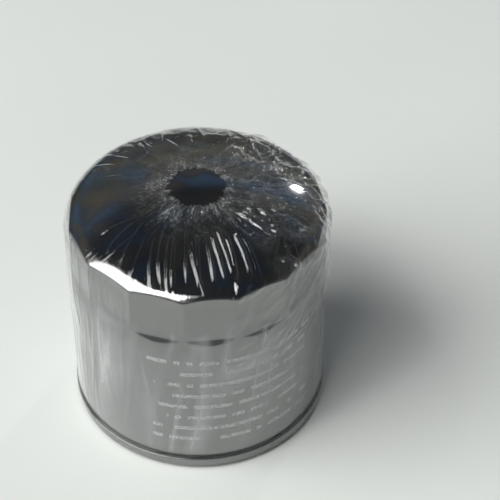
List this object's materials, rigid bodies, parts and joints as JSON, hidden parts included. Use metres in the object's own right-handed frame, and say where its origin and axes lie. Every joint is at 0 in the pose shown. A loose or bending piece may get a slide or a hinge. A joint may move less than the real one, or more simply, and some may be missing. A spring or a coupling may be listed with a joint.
{
  "type": "spin-on engine oil filter",
  "caption": "Black spin-on oil filter can with a domed top and wrench flats, pleated element, valves, threaded base and gasket, in clear shrink film.",
  "frame": {"origin": "centre of the gasket's lower face, which is also the bottom centre of the bounding box", "axes": "+Z along the can's axis, from the gasket face towards the dome; +X through the middle of one wrench flat, so that a corner between flats lies on -X"},
  "size_m": [0.0784, 0.0784, 0.079],
  "materials": {
    "black_paint": "gloss black paint on drawn steel",
    "sealing_compound": "grey seam sealing compound",
    "gasket_rubber": "moulded nitrile rubber, lightly oiled",
    "zinc_plate": "zinc plated pressed steel",
    "flap_rubber": "moulded nitrile rubber",
    "cap_steel": "tin plated sheet steel",
    "adhesive": "cured plastisol bedding",
    "filter_paper": "resin impregnated filter paper",
    "valve_steel": "bright turned steel",
    "spring_steel": "oil tempered spring wire",
    "clear_film": "clear shrink film"
  },
  "bodies": {
    "case": {"housing_can": "black_paint", "seam_lid": "black_paint", "seam_compound": "sealing_compound", "sealing_gasket": "gasket_rubber", "base_plate": "zinc_plate", "shrink_film": "clear_film", "element_spring": "spring_steel"},
    "element": {"lower_end_cap": "cap_steel", "upper_end_cap": "cap_steel", "lower_adhesive": "adhesive", "upper_adhesive": "adhesive", "center_tube": "cap_steel", "pleated_media": "filter_paper", "media_seam_clip": "cap_steel", "bypass_seat": "cap_steel", "bypass_cage": "cap_steel", "bypass_spring": "spring_steel", "spring_cup": "cap_steel"},
    "anti_drain_flap": {"anti_drain_valve": "flap_rubber"},
    "bypass_poppet": {"bypass_disc": "cap_steel", "bypass_disc_seal": "flap_rubber", "bypass_stem": "valve_steel", "bypass_stem_clip": "valve_steel"}
  },
  "joints": [
    {"name": "element_slide", "type": "slide", "parent": "case", "child": "element", "axis": [0, 0, 1], "range_m": [0, 0.0025], "stiffness_N_per_m": 5000, "springref_m": -0.008, "deforming": ["element_spring"]},
    {"name": "flap_lift", "type": "slide", "parent": "case", "child": "anti_drain_flap", "axis": [0, 0, 1], "range_m": [0, 0.0015], "stiffness_N_per_m": 300, "springref_m": -0.002, "deforming": ["anti_drain_valve"]},
    {"name": "bypass_open", "type": "slide", "parent": "element", "child": "bypass_poppet", "axis": [0, 0, -1], "range_m": [0, 0.0035], "stiffness_N_per_m": 1000, "springref_m": -0.012, "deforming": ["bypass_spring"]}
  ]
}
